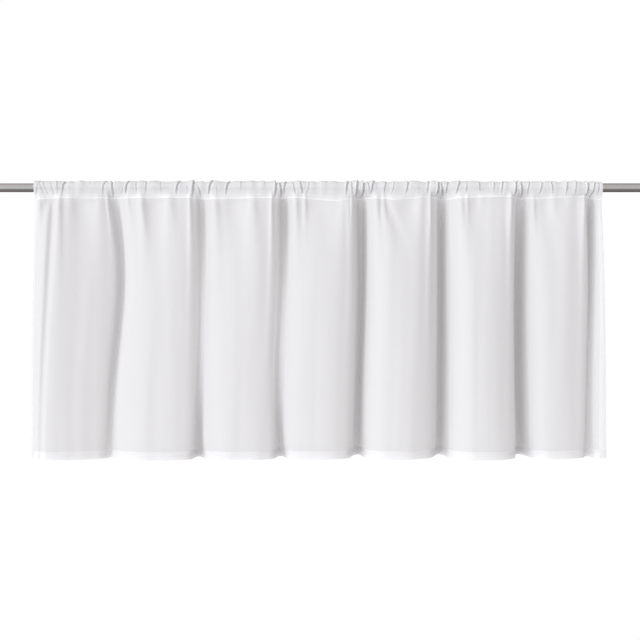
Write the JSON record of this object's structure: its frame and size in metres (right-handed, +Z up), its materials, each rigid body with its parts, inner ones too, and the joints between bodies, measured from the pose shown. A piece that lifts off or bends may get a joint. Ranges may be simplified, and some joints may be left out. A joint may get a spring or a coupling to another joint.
{
  "type": "cafe curtain and rod",
  "caption": "Short sheer cafe curtain gathered on a slim round rod by a sewn rod pocket, hanging in soft vertical folds with narrow stitched hems.",
  "frame": {"origin": "middle of the rod's axis", "axes": "+X along the rod, +Z up, and the curtain's front faces -Y"},
  "size_m": [1.2, 0.0792, 0.4987],
  "materials": {
    "voile": "sheer white plain weave with fine slubs, matt",
    "steel": "satin, fine brushing along the rod"
  },
  "bodies": {
    "root": {"curtain": "voile", "rod": "steel"}
  },
  "joints": []
}
